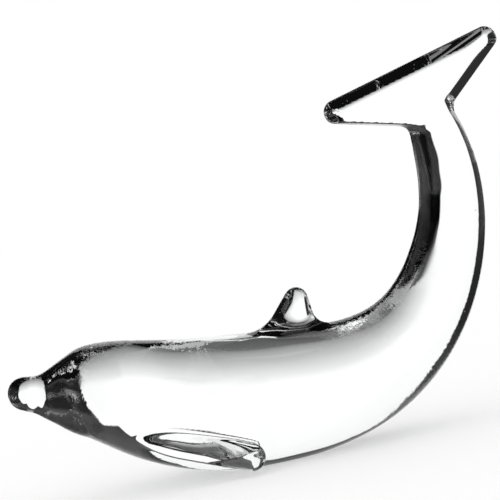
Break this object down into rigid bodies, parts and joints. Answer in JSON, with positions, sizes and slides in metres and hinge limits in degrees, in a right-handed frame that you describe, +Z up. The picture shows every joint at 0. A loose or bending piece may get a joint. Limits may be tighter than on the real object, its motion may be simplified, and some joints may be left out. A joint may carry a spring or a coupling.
{
  "type": "dolphin figurine",
  "caption": "Solid clear glass dolphin that rests on a ground flat under its belly, head low and stretched forward, tail curled up to a broad upright fluke.",
  "frame": {"origin": "on the table, under the middle of the figurine's length, in its plane of symmetry", "axes": "+X from the beak to the tail, +Y to the dolphin's right side, +Z up from the ground flat it rests on"},
  "size_m": [0.1647, 0.04, 0.1144],
  "materials": {
    "crystal": "fire-polished clear crystal"
  },
  "bodies": {
    "root": {"dolphin": "crystal"}
  },
  "joints": []
}
